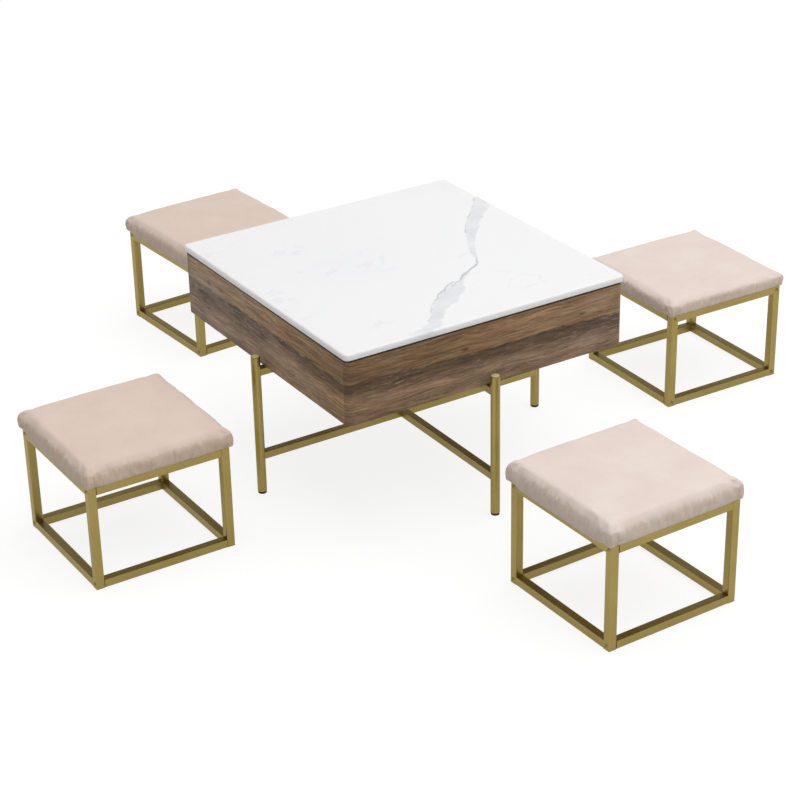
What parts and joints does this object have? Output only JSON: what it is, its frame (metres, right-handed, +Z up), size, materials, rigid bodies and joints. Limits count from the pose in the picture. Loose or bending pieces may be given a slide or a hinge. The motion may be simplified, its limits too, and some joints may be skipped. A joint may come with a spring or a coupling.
{
  "type": "lift-top coffee table with ottomans",
  "caption": "Square coffee table with a marble-look top that lifts forward over a storage box on round legs, and cube ottomans that park under it.",
  "frame": {"origin": "on the floor, under the middle of the box round the whole set", "axes": "+Z up; -Y to the table's front, where its top lifts to; +X to the table's right as its front faces the user"},
  "size_m": [1.9406, 2.1122, 0.499],
  "materials": {
    "marble_top": "fibreboard faced with a glossy white marble-look laminate with grey veins",
    "wood_grain": "fibreboard faced with a matt brown weathered-plank wood grain",
    "gold_paint": "satin brass-gold coating on steel tube",
    "black_plastic": "moulded black plastic foot",
    "lift_steel": "black coated pressed steel",
    "spring_steel": "bright zinc-plated spring wire",
    "seat_board": "raw plywood board",
    "cushion_cloth": "soft beige velvet-like cloth over foam"
  },
  "bodies": {
    "table": {"box_front_panel": "wood_grain", "box_back_panel": "wood_grain", "box_left_panel": "wood_grain", "box_right_panel": "wood_grain", "box_floor": "wood_grain", "front_leg": "gold_paint", "back_leg": "gold_paint", "left_leg": "gold_paint", "right_leg": "gold_paint", "front_foot": "black_plastic", "back_foot": "black_plastic", "left_foot": "black_plastic", "right_foot": "black_plastic", "lower_cross": "gold_paint", "upper_cross": "gold_paint", "left_lift_base_plate": "lift_steel", "right_lift_base_plate": "lift_steel", "left_lift_spring": "spring_steel", "right_lift_spring": "spring_steel"},
    "lift_top": {"table_top": "marble_top", "left_lift_top_bracket": "lift_steel", "right_lift_top_bracket": "lift_steel"},
    "left_front_arm": {"left_lift_front_arm": "lift_steel"},
    "left_rear_arm": {"left_lift_rear_arm": "lift_steel"},
    "right_front_arm": {"right_lift_front_arm": "lift_steel"},
    "right_rear_arm": {"right_lift_rear_arm": "lift_steel"},
    "left_stool": {"left_stool_left_frame": "gold_paint", "left_stool_right_frame": "gold_paint", "left_stool_front_bottom_rail": "gold_paint", "left_stool_front_top_rail": "gold_paint", "left_stool_back_bottom_rail": "gold_paint", "left_stool_back_top_rail": "gold_paint", "left_stool_seat_board": "seat_board", "left_stool_cushion": "cushion_cloth"},
    "front_stool": {"front_stool_left_frame": "gold_paint", "front_stool_right_frame": "gold_paint", "front_stool_front_bottom_rail": "gold_paint", "front_stool_front_top_rail": "gold_paint", "front_stool_back_bottom_rail": "gold_paint", "front_stool_back_top_rail": "gold_paint", "front_stool_seat_board": "seat_board", "front_stool_cushion": "cushion_cloth"},
    "right_stool": {"right_stool_left_frame": "gold_paint", "right_stool_right_frame": "gold_paint", "right_stool_front_bottom_rail": "gold_paint", "right_stool_front_top_rail": "gold_paint", "right_stool_back_bottom_rail": "gold_paint", "right_stool_back_top_rail": "gold_paint", "right_stool_seat_board": "seat_board", "right_stool_cushion": "cushion_cloth"},
    "back_stool": {"back_stool_left_frame": "gold_paint", "back_stool_right_frame": "gold_paint", "back_stool_front_bottom_rail": "gold_paint", "back_stool_front_top_rail": "gold_paint", "back_stool_back_bottom_rail": "gold_paint", "back_stool_back_top_rail": "gold_paint", "back_stool_seat_board": "seat_board", "back_stool_cushion": "cushion_cloth"}
  },
  "joints": [
    {"name": "top_lift", "type": "hinge", "parent": "table", "child": "left_front_arm", "pos_m": [-0.40188, -0.1997, 0.395], "axis": [1, 0, 0], "range_deg": [0, 96], "stiffness_Nm_per_rad": 2.8, "springref_deg": 159.28, "deforming": ["left_lift_spring", "right_lift_spring"]},
    {"name": "top_level", "type": "hinge", "parent": "left_front_arm", "child": "lift_top", "pos_m": [-0.40188, 0.05041, 0.466], "axis": [1, 0, 0], "range_deg": [-96, 0]},
    {"name": "left_rear_arm_turn", "type": "hinge", "parent": "table", "child": "left_rear_arm", "pos_m": [-0.40188, -0.0797, 0.395], "axis": [1, 0, 0], "range_deg": [0, 96]},
    {"name": "right_front_arm_turn", "type": "hinge", "parent": "table", "child": "right_front_arm", "pos_m": [0.29412, -0.1997, 0.395], "axis": [1, 0, 0], "range_deg": [0, 96]},
    {"name": "right_rear_arm_turn", "type": "hinge", "parent": "table", "child": "right_rear_arm", "pos_m": [0.29412, -0.0797, 0.395], "axis": [1, 0, 0], "range_deg": [0, 96]},
    {"name": "left_stool_park", "type": "hinge", "parent": "table", "child": "left_stool", "pos_m": [-0.42558, 0.115, 0], "axis": [0, 0, 1], "range_deg": [0, 90]},
    {"name": "front_stool_park", "type": "hinge", "parent": "table", "child": "front_stool", "pos_m": [-0.25458, -0.47706, 0], "axis": [0, 0, 1], "range_deg": [0, 88.8]},
    {"name": "right_stool_park", "type": "hinge", "parent": "table", "child": "right_stool", "pos_m": [0.35371, -0.27941, 0], "axis": [0, 0, 1], "range_deg": [0, 91.1]},
    {"name": "back_stool_park", "type": "hinge", "parent": "table", "child": "back_stool", "pos_m": [0.222, 0.4074, 0], "axis": [0, 0, 1], "range_deg": [0, 86.6]}
  ],
  "couplings": [
    {"joint": "top_level", "follows": "top_lift", "ratio": -1},
    {"joint": "left_rear_arm_turn", "follows": "top_lift", "ratio": 1},
    {"joint": "right_front_arm_turn", "follows": "top_lift", "ratio": 1},
    {"joint": "right_rear_arm_turn", "follows": "top_lift", "ratio": 1}
  ]
}
